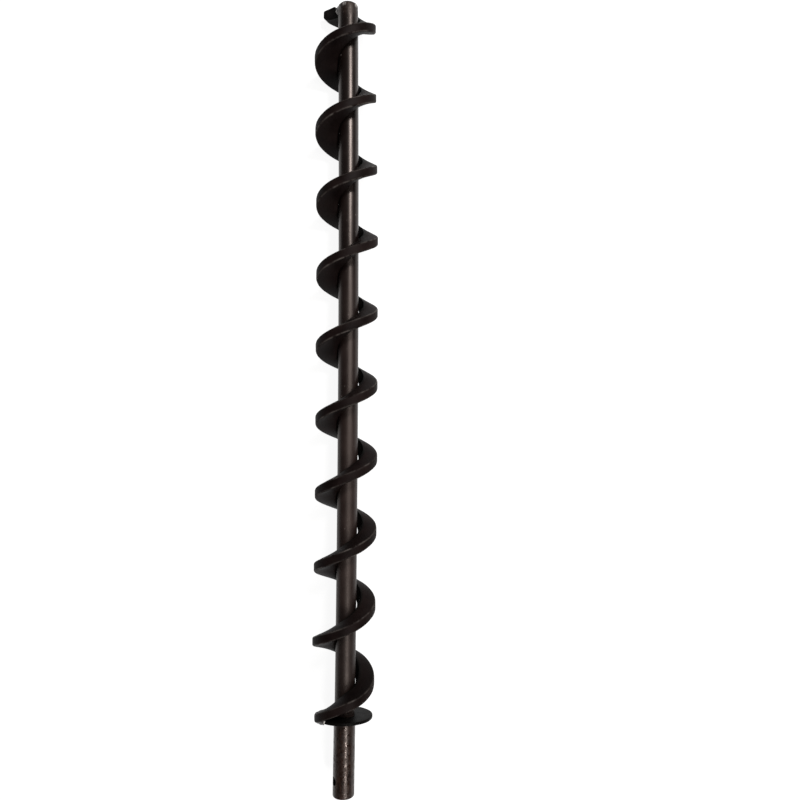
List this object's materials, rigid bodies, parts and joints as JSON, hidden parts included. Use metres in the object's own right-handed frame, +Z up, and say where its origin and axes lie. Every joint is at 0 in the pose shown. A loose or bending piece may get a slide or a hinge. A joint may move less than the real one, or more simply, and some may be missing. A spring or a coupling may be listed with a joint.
{
  "type": "screw conveyor auger",
  "caption": "Right-hand screw conveyor auger: a heavy bar wound close round a round shaft, thicker inside than at its rim, with an end disc and a cross-drilled drive stub.",
  "frame": {"origin": "midway along the shaft, on the surface that the flight lies on", "axes": "+Y along the shaft from the drive stub to the free end, +Z up, +X to the right of a view from above with the stub at the bottom"},
  "size_m": [0.0616, 0.7864, 0.0613],
  "materials": {
    "shaft_steel": "hot-rolled bar, dark brown oxide, rubbed bright along its crown",
    "flight_steel": "dark oxide, worn brighter along the edges",
    "weld_metal": "weld metal, dull grey, bare where it was dressed"
  },
  "bodies": {
    "root": {"shaft": "shaft_steel", "spiral_flight": "flight_steel", "end_disc": "flight_steel", "disc_weld": "weld_metal", "foot_weld": "weld_metal", "tip_weld": "weld_metal"}
  },
  "joints": []
}
